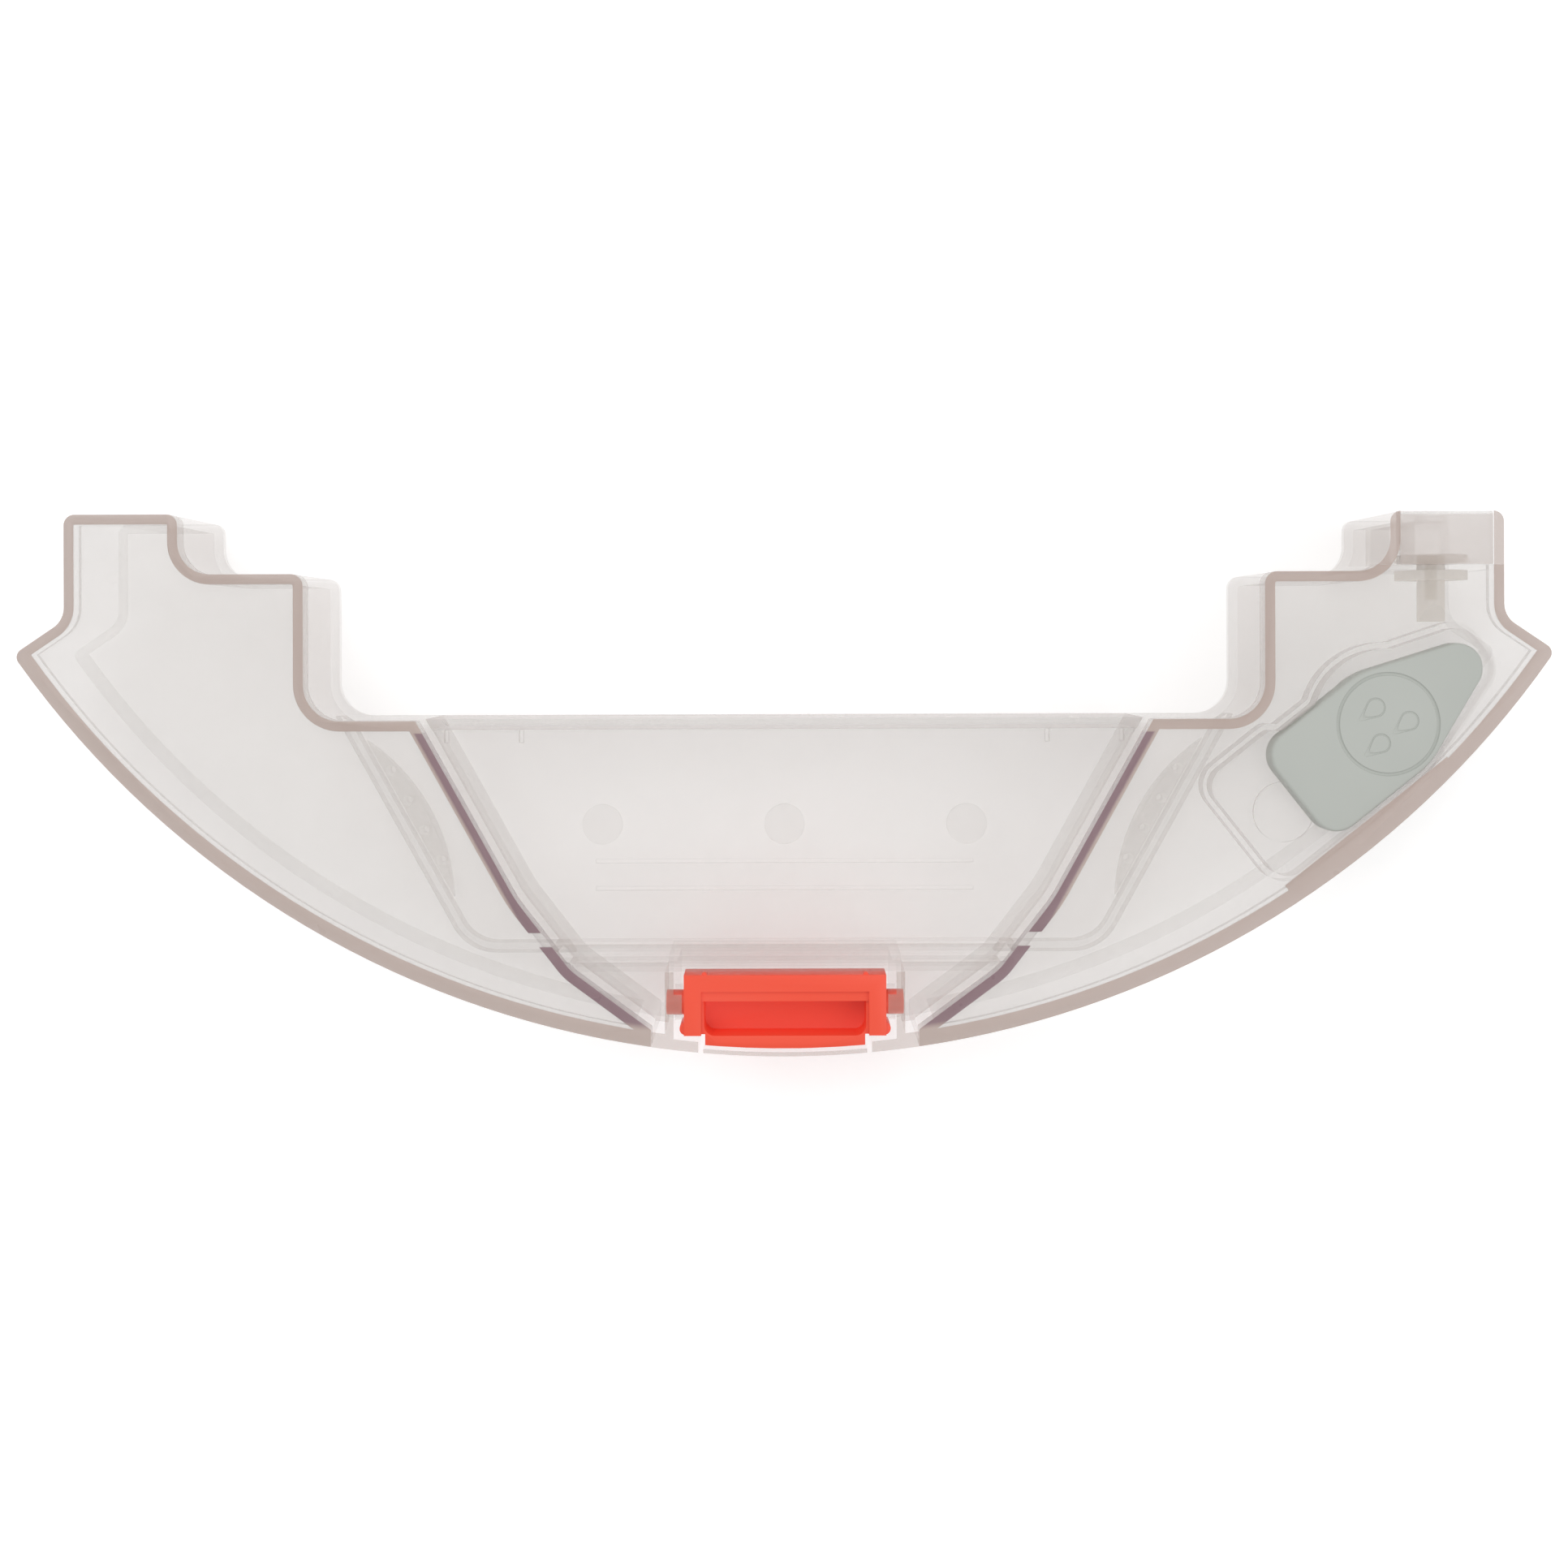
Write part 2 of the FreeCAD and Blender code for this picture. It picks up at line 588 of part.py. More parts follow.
def flap_corners():
    half = FLAP_W / 2
    nose = half - (FLAP_L - FLAP_STRAIGHT) * math.tan(math.radians(FLAP_TAPER))
    return [
        (0, half, FLAP_CORNER_R), (0, -half, FLAP_CORNER_R), (FLAP_STRAIGHT, -half, FLAP_CORNER_R),
        (FLAP_L, -nose, FLAP_NOSE_R), (FLAP_L, nose, FLAP_NOSE_R), (FLAP_STRAIGHT, half, FLAP_CORNER_R),
    ]


def recess_face():
    """Plan of the recess: round the flap, wider at the nose, with a bulge and the finger scoop."""
    half = FLAP_W / 2
    nose = half - (FLAP_L - FLAP_STRAIGHT) * math.tan(math.radians(FLAP_TAPER))
    end = FLAP_L + NOSE_GAP
    around = rounded_face(flap_corners()).makeOffset2D(RECESS_GAP)
    apron = rounded_face([
        (FLAP_STRAIGHT - 6, -half - RECESS_GAP, 0), (FLAP_STRAIGHT, -half - RECESS_GAP, 0),
        (end, -nose - NOSE_GAP, FLAP_NOSE_R), (end, nose + NOSE_GAP_WIDE, FLAP_NOSE_R),
        (FLAP_STRAIGHT, half + NOSE_GAP_WIDE, 0), (FLAP_STRAIGHT - 6, half + NOSE_GAP_WIDE, 0),
    ])
    scoop = rounded_face([
        (-SCOOP_L, half + SCOOP_SIDE_WIDE, SCOOP_CORNER_R), (-SCOOP_L, -half - SCOOP_SIDE, SCOOP_CORNER_R),
        (FLAP_CORNER_R, -half - SCOOP_SIDE, 0), (FLAP_CORNER_R, half + SCOOP_SIDE_WIDE, SCOOP_SIDE_WIDE),
    ])
    bulge = Part.Face(Part.Wire([
        Part.LineSegment(Vector(EMBLEM_U - BULGE_R, 0, 0), Vector(EMBLEM_U + BULGE_R, 0, 0)).toShape(),
        Part.Arc(Vector(EMBLEM_U + BULGE_R, 0, 0), Vector(EMBLEM_U, BULGE_R, 0),
                 Vector(EMBLEM_U - BULGE_R, 0, 0)).toShape(),
    ]))
    plan = around.fuse([apron, scoop, bulge]).removeSplitter()
    return largest_face(plan).makeOffset2D(RECESS_BLEND_R).makeOffset2D(-RECESS_BLEND_R)


def largest_face(shape):
    return max(shape.Faces, key=lambda f: f.Area)


def right_cover():
    """The right cover: its recess carries the filler flap, and the air chamber has a cap of its own."""
    cover = mirrored(lobe_cover())
    plan = recess_face()
    tub = in_flap_frame(prism(plan.makeOffset2D(RECESS_WALL_T), RECESS_Z - RECESS_FLOOR_T, PLATE_Z - 0.1))
    tub = tub.common(disc(OUTER_RADIUS - REAR_WALL_T - SEAM_GAP, 0, ABOVE))
    collar = in_flap_frame(disc(BORE_R + BORE_COLLAR_T, RECESS_Z - RECESS_FLOOR_T - BORE_COLLAR_H,
                                RECESS_Z - RECESS_FLOOR_T / 2, EMBLEM_U, 0))
    side = -FLAP_W / 2 - RECESS_GAP
    web = in_flap_frame(block(-SCOOP_L, FLAP_STRAIGHT + 3, side - 12, side, PLATE_Z - PLATE_T, TANK_HEIGHT))
    web = web.common(disc(OUTER_RADIUS - REAR_WALL_T / 2, 0, ABOVE))
    cover = joined([cover, tub, collar, web])
    cover = cover.cut(in_flap_frame(prism(plan, RECESS_Z, ABOVE)))
    dish = disc(DISH_R, RECESS_Z - DISH_DEPTH, ABOVE, DISH_U, DISH_V)
    bore = disc(BORE_R, 0, ABOVE, EMBLEM_U, 0)
    cover = cover.cut([in_flap_frame(dish), in_flap_frame(bore)])
    chamber = block(COLUMN_INNER_X - STEP_INNER_R, COLUMN_OUTER_X + 1, PARTITION_Y + PARTITION_T / 2 - SEAM_GAP,
                    COLUMN_TOP_Y + 1, 0, ABOVE)
    return largest(cover.cut(chamber))


def filler_flap():
    """The soft flap with its hollow neck and the ringed drop emblem, up to its living hinge."""
    low = RECESS_Z + FLAP_SEAT_GAP
    flap = prism(rounded_face(flap_corners()), low, FLAP_TOP_Z)
    flap = flap.makeFillet(FLAP_EDGE_R, [e for e in flap.Edges if e.BoundBox.ZMin > FLAP_TOP_Z - 1e-3])
    flap = flap.cut(block(FLAP_HINGE_U - FLAP_HINGE_GAP / 2, FLAP_L + 1, -FLAP_W, FLAP_W, 0, ABOVE))
    neck = Part.makeCone(NECK_TIP_R, NECK_R, NECK_H, Vector(EMBLEM_U, 0, low - NECK_H))
    hollow = Part.makeCone(NECK_TIP_R - NECK_WALL, NECK_R - NECK_WALL, NECK_H,
                           Vector(EMBLEM_U, 0, low - NECK_H))
    flap = flap.fuse(neck).cut(hollow)
    groove = tube(EMBLEM_R + EMBLEM_LINE, EMBLEM_R, FLAP_TOP_Z - 0.25, ABOVE, EMBLEM_U, 0)
    flap = flap.cut([groove] + emblem_drops())
    return in_flap_frame(flap.removeSplitter())


def emblem_drops():
    """Three shallow drop shapes in the ring, points to the finger end."""
    drops = []
    for turn in (90, 210, 330):
        angle = math.radians(turn)
        u, v = EMBLEM_U + 3.6 * math.cos(angle), 3.6 * math.sin(angle)
        round_end = disc(1.5, FLAP_TOP_Z - 0.25, ABOVE, u, v)
        point = prism(rounded_face([(u - 3.4, v, 0), (u + 0.6, v - 1.37, 0), (u + 0.6, v + 1.37, 0)]),
                      FLAP_TOP_Z - 0.25, ABOVE)
        drops.append(round_end.fuse(point))
    return drops


def flap_anchor():
    """The fixed end of the flap, pressed into the recess behind the living hinge."""
    low = RECESS_Z
    anchor = prism(rounded_face(flap_corners()), low, FLAP_TOP_Z)
    anchor = anchor.makeFillet(FLAP_EDGE_R, [e for e in anchor.Edges if e.BoundBox.ZMin > FLAP_TOP_Z - 1e-3])
    anchor = anchor.cut(block(-1, FLAP_HINGE_U + FLAP_HINGE_GAP / 2, -FLAP_W, FLAP_W, 0, ABOVE))
    return in_flap_frame(anchor)


def centre_deck():
    """The sunken middle plate with the raised cross channel along its rear."""
    low = DECK_Z - DECK_T
    front = FRONT_Y - LIP_T - DECK_GAP
    rear = CHANNEL_REAR_Y + CHANNEL_WALL_T
    roof_z = PLATE_Z
    plate = block(-INNER_CORNER_X, INNER_CORNER_X, -FAR, front, low, DECK_Z)
    hump = block(-INNER_CORNER_X, INNER_CORNER_X, CHANNEL_REAR_Y, CHANNEL_Y, low, roof_z)
    hollow = block(-INNER_CORNER_X, INNER_CORNER_X, rear, CHANNEL_Y - CHANNEL_WALL_T,
                   DECK_Z, roof_z - CHANNEL_ROOF_T)
    ribs = []
    for x in RIB_X:
        for sign in (-1, 1):
            ribs.append(block(sign * x - RIB_T / 2, sign * x + RIB_T / 2, front - RIB_L, front,
                              low, DECK_Z + RIB_H))
    gate = disc(GATE_R, DECK_Z - 0.5, DECK_Z + GATE_H, 0, REAR_Y + GATE_REAR)
    hub = tube(HUB_R, HUB_R - 0.5, DECK_Z - 0.5, DECK_Z + GATE_H, 0, REAR_Y + HUB_REAR)
    pads = [disc(PAD_R, low - PAD_H, low + 0.5, side * PAD_PITCH, REAR_Y + PAD_REAR) for side in (-1, 0, 1)]
    deck = joined([plate, hump, gate, hub] + ribs + pads).cut(hollow)
    deck = deck.common(disc(OUTER_RADIUS - REAR_WALL_T - DECK_GAP, 0, ABOVE))
    reach = BAY_HALF_W + BAY_WALL_T + DECK_GAP
    deck = deck.cut(block(-reach, reach, -FAR, CHANNEL_REAR_Y, 0, ABOVE))
    lobe = lobe_prism(low - 1, ABOVE)
    grown = prism(Part.Face(lobe_outline(lobe, low - 1).makeOffset2D(DECK_GAP).OuterWire), 0, ABOVE)
    return deck.cut([grown, mirrored(grown)]).removeSplitter()


def lobe_outline(lobe, z):
    face = flat_face_at(lobe, z)
    face.translate(Vector(0, 0, -z))
    return face


def vent_cap():
    """Closes the air chamber flush between the column's side walls."""
    top = TANK_HEIGHT - CAP_DROP
    cap = block(COLUMN_INNER_X + WALL_T + DECK_GAP, COLUMN_OUTER_X - WALL_T - DECK_GAP,
                PARTITION_Y + PARTITION_T / 2 + DECK_GAP, COLUMN_TOP_Y, PLATE_Z - PLATE_T, top)
    front = [e for e in cap.Edges if e.BoundBox.YMin > COLUMN_TOP_Y - 1e-3 and e.BoundBox.ZMin > top - 1e-3]
    return cap.makeFillet(CAP_EDGE_R, front)


def air_valve():
    """A soft one-way valve: a flange behind the partition and a flat bill that points into the tank."""
    face = PARTITION_Y
    back = Vector(0, -1, 0)
    flange = Part.makeCylinder(VALVE_FLANGE_R, VALVE_FLANGE_T, Vector(VALVE_X, face - SEAM_GAP, VALVE_Z), back)
    front = Part.makeCylinder(VALVE_STEM_R, PARTITION_T + RETAINER_T + 2 * SEAM_GAP,
                              Vector(VALVE_X, face - SEAM_GAP, VALVE_Z), Vector(0, 1, 0))
    stem_end = face - VALVE_FLANGE_T - VALVE_STEM_L + VALVE_BILL_L
    stem = Part.makeCylinder(VALVE_STEM_R, VALVE_STEM_L - VALVE_BILL_L,
                             Vector(VALVE_X, face - VALVE_FLANGE_T, VALVE_Z), back)
    bill = Part.makeCylinder(VALVE_STEM_R, VALVE_BILL_L, Vector(VALVE_X, stem_end, VALVE_Z), back)
    for sign in (-1, 1):
        wedge = Part.Face(Part.makePolygon([
            Vector(0, stem_end, VALVE_Z + sign * VALVE_STEM_R),
            Vector(0, stem_end - VALVE_BILL_L, VALVE_Z + sign * VALVE_BILL_T / 2),
            Vector(0, stem_end - VALVE_BILL_L, VALVE_Z + sign * 2 * VALVE_STEM_R),
            Vector(0, stem_end, VALVE_Z + sign * 2 * VALVE_STEM_R),
            Vector(0, stem_end, VALVE_Z + sign * VALVE_STEM_R),
        ])).extrude(Vector(4 * VALVE_STEM_R, 0, 0))
        wedge.translate(Vector(VALVE_X - 2 * VALVE_STEM_R, 0, 0))
        bill = bill.cut(wedge)
    port = Part.makeCylinder(VALVE_PORT_R, PARTITION_T + RETAINER_T + VALVE_FLANGE_T + VALVE_STEM_L
                             - VALVE_BILL_L, Vector(VALVE_X, face + PARTITION_T + RETAINER_T + 1, VALVE_Z), back)
    return joined([flange, front, stem, bill]).cut(port)


def valve_retainer():
    start = Vector(VALVE_X, PARTITION_Y + PARTITION_T + SEAM_GAP, VALVE_Z)
    ring = Part.makeCylinder(VALVE_FLANGE_R, RETAINER_T, start, Vector(0, 1, 0))
    return ring.cut(Part.makeCylinder(VALVE_STEM_R + VALVE_FIT, RETAINER_T, start, Vector(0, 1, 0)))


def latch_lever():
    """The finger latch: a stepped bar in front, a finger recess behind it and two side arms."""
    front = CHANNEL_REAR_Y - LATCH_GAP_FRONT
    lip_r = OUTER_RADIUS - SKIN_T - LATCH_LIP_GAP
    top, half = LATCH_TOP_Z, LATCH_HALF_W
    recess_front = front - LATCH_BAND - LATCH_STEP
    bar = block(-half, half, recess_front, front, top - LATCH_SKIRT_H, top)
    ledge = block(-RECESS_HALF_W, RECESS_HALF_W, recess_front - 1, front - LATCH_BAND, top - LATCH_STEP_DROP, ABOVE)
    arms = [block(*sorted((side * RECESS_HALF_W, side * half)), ARM_END_Y, front, top - LATCH_SKIRT_H, top)
            for side in (-1, 1)]
    low = FINGER_Z - LATCH_WALL_T
    hull = block(-RECESS_HALF_W - 0.01, RECESS_HALF_W + 0.01, ARM_END_Y, recess_front + 0.01,
                 low, top - LIP_DROP)
    tongue_half = SLOT_X - SLOT_W - LATCH_LIP_GAP
    tongue = block(-tongue_half, tongue_half, -FAR, ARM_END_Y + 0.01, low, top - LIP_DROP)
    tongue = tongue.common(disc(lip_r, 0, ABOVE))
    back = block(-RECESS_HALF_W, RECESS_HALF_W, recess_front, recess_front + LATCH_WALL_T,
                 low, top - LATCH_SKIRT_H / 2)
    finger_rear = arc_y(FINGER_HALF_W, lip_r - LIP_W)
    finger = prism(rounded_face([
        (-FINGER_HALF_W, recess_front, 0), (FINGER_HALF_W, recess_front, 0),
        (FINGER_HALF_W, finger_rear, FINGER_CORNER_R), (-FINGER_HALF_W, finger_rear, FINGER_CORNER_R),
    ]), FINGER_Z, ABOVE)
    lever = joined([bar, hull, tongue, back] + arms).cut([finger, ledge])
    under = block(-half + LATCH_WALL_T, half - LATCH_WALL_T, recess_front + LATCH_WALL_T,
                  front - LATCH_WALL_T, 0, top - 2 * LATCH_WALL_T)
    lever = lever.cut(under)
    extras = []
    for side in (-1, 1):
        reach = BAY_HALF_W + BAY_WALL_T - PIVOT_END_GAP - half + LATCH_WALL_T
        extras.append(Part.makeCylinder(PIVOT_R, reach, Vector(side * (half - LATCH_WALL_T), PIVOT_Y, PIVOT_Z),
                                        Vector(side, 0, 0)))
        extras.append(disc(FOOT_R, top - LATCH_SKIRT_H, top - 0.6, side * (half - 0.35), ARM_END_Y + FOOT_R))
        extras.append(disc(BUMP_R, top - 2, top - 0.3, side * BUMP_X, front))
    return joined([lever] + extras)


def latch_spring(x):
    """A coil spring between the bay floor's post and the underside of the finger recess."""
    low = FLOOR_T + WIRE_R + SPRING_SEAT_GAP
    high = FINGER_Z - LATCH_WALL_T - WIRE_R - SPRING_SEAT_GAP
    pitch = (high - low) / SPRING_TURNS
    helix = Part.makeHelix(pitch, high - low, SPRING_R)
    start = helix.Edges[0].valueAt(helix.Edges[0].FirstParameter)
    tangent = helix.Edges[0].tangentAt(helix.Edges[0].FirstParameter)
    ring = Part.Wire(Part.Circle(start, tangent, WIRE_R).toShape())
    coil = Part.Wire(helix.Edges).makePipeShell([ring], True, True)
    coil.translate(Vector(x, SPRING_Y, low))
    return coil


def tank_parts():
    floor = base_floor()
    left_base, right_base = side_bases(floor)
    pad, frame = outlet_pad(), outlet_frame()
    return {
        "base_plate": base_plate(floor),
        "left_base": left_base,
        "right_base": right_base,
        "left_dam": dam(),
        "right_dam": mirrored(dam()),
        "left_shell": lobe_shell(),
        "right_shell": right_shell(),
        "right_column": right_column(),
        "front_wall": front_wall(),
        "latch_bay": latch_bay(),
        "latch_skin": latch_skin(),
        "left_cover": lobe_cover(),
        "right_cover": right_cover(),
        "centre_deck": centre_deck(),
        "left_outlet_pad": pad,
        "right_outlet_pad": mirrored(pad),
        "left_outlet_frame": frame,
        "right_outlet_frame": mirrored(frame),
        "filler_flap": filler_flap(),
        "flap_anchor": flap_anchor(),
        "vent_cap": vent_cap(),
        "air_valve": air_valve(),
        "valve_retainer": valve_retainer(),
        "latch_lever": latch_lever(),
        "left_latch_spring": latch_spring(-SPRING_X),
        "right_latch_spring": latch_spring(SPRING_X),
    }


def main():
    os.makedirs("parts", exist_ok=True)
    for name, shape in tank_parts().items():
        shape.exportStep(os.path.join("parts", name + ".step"))
        print(name, shape.isValid(), len(shape.Solids), round(shape.Volume, 1))


main()
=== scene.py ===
import bpy
import json
import math
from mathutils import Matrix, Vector

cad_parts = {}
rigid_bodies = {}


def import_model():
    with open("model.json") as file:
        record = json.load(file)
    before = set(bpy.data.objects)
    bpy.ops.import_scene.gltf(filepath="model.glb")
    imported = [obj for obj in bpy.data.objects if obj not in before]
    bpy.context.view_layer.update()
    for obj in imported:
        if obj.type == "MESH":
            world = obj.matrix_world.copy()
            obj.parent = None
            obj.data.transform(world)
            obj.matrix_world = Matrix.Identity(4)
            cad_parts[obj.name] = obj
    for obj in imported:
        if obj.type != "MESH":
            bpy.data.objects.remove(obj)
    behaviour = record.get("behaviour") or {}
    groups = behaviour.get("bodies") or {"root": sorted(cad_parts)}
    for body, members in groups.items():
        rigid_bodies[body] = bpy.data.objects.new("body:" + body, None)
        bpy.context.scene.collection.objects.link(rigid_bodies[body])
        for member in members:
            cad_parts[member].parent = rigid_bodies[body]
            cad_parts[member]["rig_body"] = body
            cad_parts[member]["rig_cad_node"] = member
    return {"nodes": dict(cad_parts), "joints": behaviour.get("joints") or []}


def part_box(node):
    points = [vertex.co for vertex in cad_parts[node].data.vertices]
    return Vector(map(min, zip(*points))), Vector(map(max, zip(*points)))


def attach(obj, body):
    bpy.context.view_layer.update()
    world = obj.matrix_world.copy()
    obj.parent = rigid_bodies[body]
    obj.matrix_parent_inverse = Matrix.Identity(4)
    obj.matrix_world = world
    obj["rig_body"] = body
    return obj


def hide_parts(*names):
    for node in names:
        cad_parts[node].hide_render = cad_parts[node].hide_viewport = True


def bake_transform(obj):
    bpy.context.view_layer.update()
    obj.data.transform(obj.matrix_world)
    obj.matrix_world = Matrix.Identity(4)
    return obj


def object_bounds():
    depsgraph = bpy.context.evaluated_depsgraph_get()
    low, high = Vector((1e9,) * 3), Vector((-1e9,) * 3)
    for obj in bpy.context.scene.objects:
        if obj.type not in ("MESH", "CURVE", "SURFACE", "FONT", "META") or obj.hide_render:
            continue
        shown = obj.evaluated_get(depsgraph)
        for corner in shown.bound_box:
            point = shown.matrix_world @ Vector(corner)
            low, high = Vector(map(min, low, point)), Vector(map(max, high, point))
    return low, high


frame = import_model()
cad_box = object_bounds()
nodes = frame["nodes"]

MM = 0.001
TOP_Z = cad_box[1].z

# The camera looks straight down on the tank from this far above it.
CAMERA_HEIGHT = 300 * MM
CAMERA_Y = 26.4 * MM
VIEW_WIDTH = 292.3 * MM
CAMERA_SHIFT = -0.09
CAMERA_ROLL = -0.17

# The rear arc's centre, where its rim's painted brown shade starts, and the slope of the base's joins to that
# centre.
ARC_CENTRE = 124.3 * MM
REAR_RIM_R = 171.5 * MM
BASE_SPLIT = 0.7204

# Where the painted shades change: the pocket's two slanting sides get a painted mauve shade on their rims and
# sides, from the knee to the bay.
POCKET_SLOPE = 0.555
POCKET_SIDE_X = 70.4 * MM
POCKET_SIDE_Y = 12 * MM
POCKET_FRONT_Y = 9.7 * MM
BAY_SIDE_X = 24 * MM
LOBE_END_X = 125 * MM
BASE_TOP_Z = 2.01 * MM
GATE_PAD_Z = 15.7 * MM
RAISED_Z = 22 * MM
RIM_Z = 26.8 * MM
LATCH_TOP_Z = 22.5 * MM

# The filler flap's own frame, read from its hinge: u runs to the hinge, v across.
HINGE = next(j for j in frame["joints"] if j["name"] == "flap_hinge")
FLAP_ACROSS = Vector(HINGE["axis"]).normalized()
FLAP_ALONG = Vector((FLAP_ACROSS.y, -FLAP_ACROSS.x, 0))
FLAP_TOP = HINGE["pos_m"][2]
HINGE_U = 38.9 * MM
FLAP_ORIGIN = Vector(HINGE["pos_m"]) - FLAP_ALONG * HINGE_U
FLAP_ANGLE = math.atan2(FLAP_ALONG.y, FLAP_ALONG.x)
FLAP_LENGTH = 43.4 * MM
FLAP_HALF = 10.9 * MM
FLAP_STRAIGHT = 23.5 * MM
FLAP_TAPER = math.radians(21.0)
FLAP_THICK = 3.4 * MM
FLAP_EDGE_R = 0.7 * MM
FLAP_CORNERS = ((0, 5.0 * MM), (FLAP_STRAIGHT, 2.4 * MM), (FLAP_LENGTH, 3.16 * MM))
BEND_CUTS = 9
BEND_PITCH = 0.35 * MM
BEND_REACH = 1.2 * MM
EMBLEM_U = 21.9 * MM
EMBLEM_R = 9.4 * MM
GROOVE_R = 0.35 * MM
DROP_RING_R = 3.9 * MM
DROP_R = 1.7 * MM
DROP_LINE_R = 0.2 * MM
DROP_POINT = 1.5 * MM
PLUG_END_R = 8.0 * MM
PLUG_ROOT_R = 8.6 * MM
PLUG_ROOT = 0.4 * MM
PLUG_WALL = 1.6 * MM
PLUG_ROOF = 0.9 * MM
PLUG_EDGE_R = 0.3 * MM


def srgb(*levels):
    """A colour as linear light from its 0 to 255 screen levels."""
    linear = [((c / 255 + 0.055) / 1.055) ** 2.4 if c > 10 else c / 255 / 12.92 for c in levels]
    return (*linear, 1.0)


class Signal:
    """A node's output whose arithmetic adds Math nodes."""

    def __init__(self, finish, socket):
        self.finish = finish
        self.socket = socket

    def math(self, operation, *others, clamp=False):
        return self.finish.node("Math", {"operation": operation, "use_clamp": clamp}, [self, *others])

    def __add__(self, other):
        return self.math("ADD", other)

    def __sub__(self, other):
        return self.math("SUBTRACT", other)

    def __mul__(self, other):
        return self.math("MULTIPLY", other)

    def __truediv__(self, other):
        return self.math("DIVIDE", other)

    def __rsub__(self, other):
        return self.finish.node("Math", {"operation": "SUBTRACT"}, [other, self])

    __radd__ = __add__
    __rmul__ = __mul__

    def above(self, edge, soft):
        """0 below the edge and 1 above it, with a soft step."""
        return ((self - edge) / soft + 0.5).math("ADD", 0.0, clamp=True)

    def size(self):
        return self.math("ABSOLUTE")


class Finish:
    """A material made from nodes."""

    def __init__(self, name):
        self.material = bpy.data.materials.new(name)
        self.material.use_nodes = True
        self.tree = self.material.node_tree
        self.tree.nodes.clear()
        place = self.node("TexCoord", output="Object")
        self.place = place
        self.x, self.y, self.z = self.split(place)
        self.normal_x, self.normal_y, self.normal_z = self.split(self.node("NewGeometry", output="Normal"))

    def node(self, kind, settings=None, values=None, output=0):
        """Adds a node, sets its settings, then its inputs' values or links, and gives one output."""
        made = self.tree.nodes.new("ShaderNode" + kind)
        for key, value in (settings or {}).items():
            setattr(made, key, value)
        pairs = values.items() if isinstance(values, dict) else enumerate(values or [])
        for key, value in pairs:
            if isinstance(value, Signal):
                self.tree.links.new(value.socket, made.inputs[key])
            else:
                made.inputs[key].default_value = value
        return Signal(self, made.outputs[output])

    def split(self, vector):
        parts = self.node("SeparateXYZ", values=[vector])
        return [Signal(self, socket) for socket in parts.socket.node.outputs]

    def noise(self, scale, detail=3.0, roughness=0.5):
        return self.node("TexNoise", values={"Vector": self.place, "Scale": scale, "Detail": detail,
                                             "Roughness": roughness})

    def mix(self, factor, first, second):
        made = self.node("Mix", {"data_type": "RGBA"}).socket.node
        for socket, value in ((made.inputs[0], factor), (made.inputs[6], first), (made.inputs[7], second)):
            if isinstance(value, Signal):
                self.tree.links.new(value.socket, socket)
            else:
                socket.default_value = value
        return Signal(self, made.outputs[2])

    def bump(self, height, distance, strength=0.5):
        return self.node("Bump", values={"Height": height, "Distance": distance, "Strength": strength})

    def done(self, **sockets):
        surface = self.node("BsdfPrincipled", values={k.replace("_", " "): v for k, v in sockets.items()})
        out = self.tree.nodes.new("ShaderNodeOutputMaterial")
        self.tree.links.new(surface.socket, out.inputs[0])
        return self.material


def tank_plastic(name, plate_alpha, side_alpha=0.04, rim_alpha=0.6, mauve_shade=0.0, raised=1.0,
                 pad_alpha=0.0):
    """Milky see-through plastic: pale plates, with painted shade making the rim tops brown, and mauve round
    the pocket, for the dim light seen down the walls' depth; upright faces get a darker painted shade.

    The alphas say how much each kind of face hides. raised scales the plates' one above RAISED_Z,
    pad_alpha adds to flat faces below GATE_PAD_Z, and the joins between nodes are left clear.
    """
    f = Finish(name)
    mottle = f.noise(140, 2)
    flat = f.normal_z.size().above(0.6, 0.4)
    rim = f.z.above(RIM_Z, 0.15 * MM) * flat
    line = f.x.size() + POCKET_SLOPE * (POCKET_SIDE_Y - f.y)
    behind = ARC_CENTRE - f.y
    outer = (f.x * f.x + behind * behind).math("SQRT").above(REAR_RIM_R, 1 * MM)
    inward = (1 - line.above(POCKET_SIDE_X, 0.6 * MM)) * (1 - f.y.above(POCKET_FRONT_Y, 0.2 * MM))
    inward = inward * f.x.size().above(BAY_SIDE_X, 1 * MM) * (1 - outer) * mauve_shade
    near = (1 - outer) * (1 - f.x.size().above(LOBE_END_X, 3 * MM))
    split = f.x.size() - BASE_SPLIT * behind
    join = (1 - split.size().above(0.1 * MM, 0.02 * MM)) * (1 - f.z.above(BASE_TOP_Z, 0.01 * MM))
    pale = f.mix(mottle, srgb(200, 194, 189), srgb(214, 209, 205))
    # painted shade: upright faces are coloured darker than the flat plates, and mauve on the pocket's
    # slanting sides
    side = f.mix(inward, srgb(196, 184, 178), srgb(150, 126, 130))
    colour = f.mix(flat, side, pale)
    # painted shade: rim tops are coloured brown, or mauve round the pocket, for the dim light seen down the
    # walls' depth
    colour = f.mix(rim, colour, f.mix(inward, srgb(182, 161, 151), srgb(138, 110, 117)))
    plate = plate_alpha * (1 - (1 - raised) * f.z.above(RAISED_Z, 1 * MM))
    upright = (1 - flat) * side_alpha * (1 + inward * 1.5 + near * 2.7)
    pads = (1 - f.z.above(GATE_PAD_Z, 0.05 * MM)) * flat * pad_alpha
    alpha = (plate + pads + rim * (rim_alpha + inward * 0.12) + upright) * (1 - join * (1 - flat))
    return f.done(Base_Color=colour, Roughness=0.24 + mottle * 0.12, Alpha=alpha.math("MINIMUM", 0.96),
                  IOR=1.49, Specular_IOR_Level=0.4)


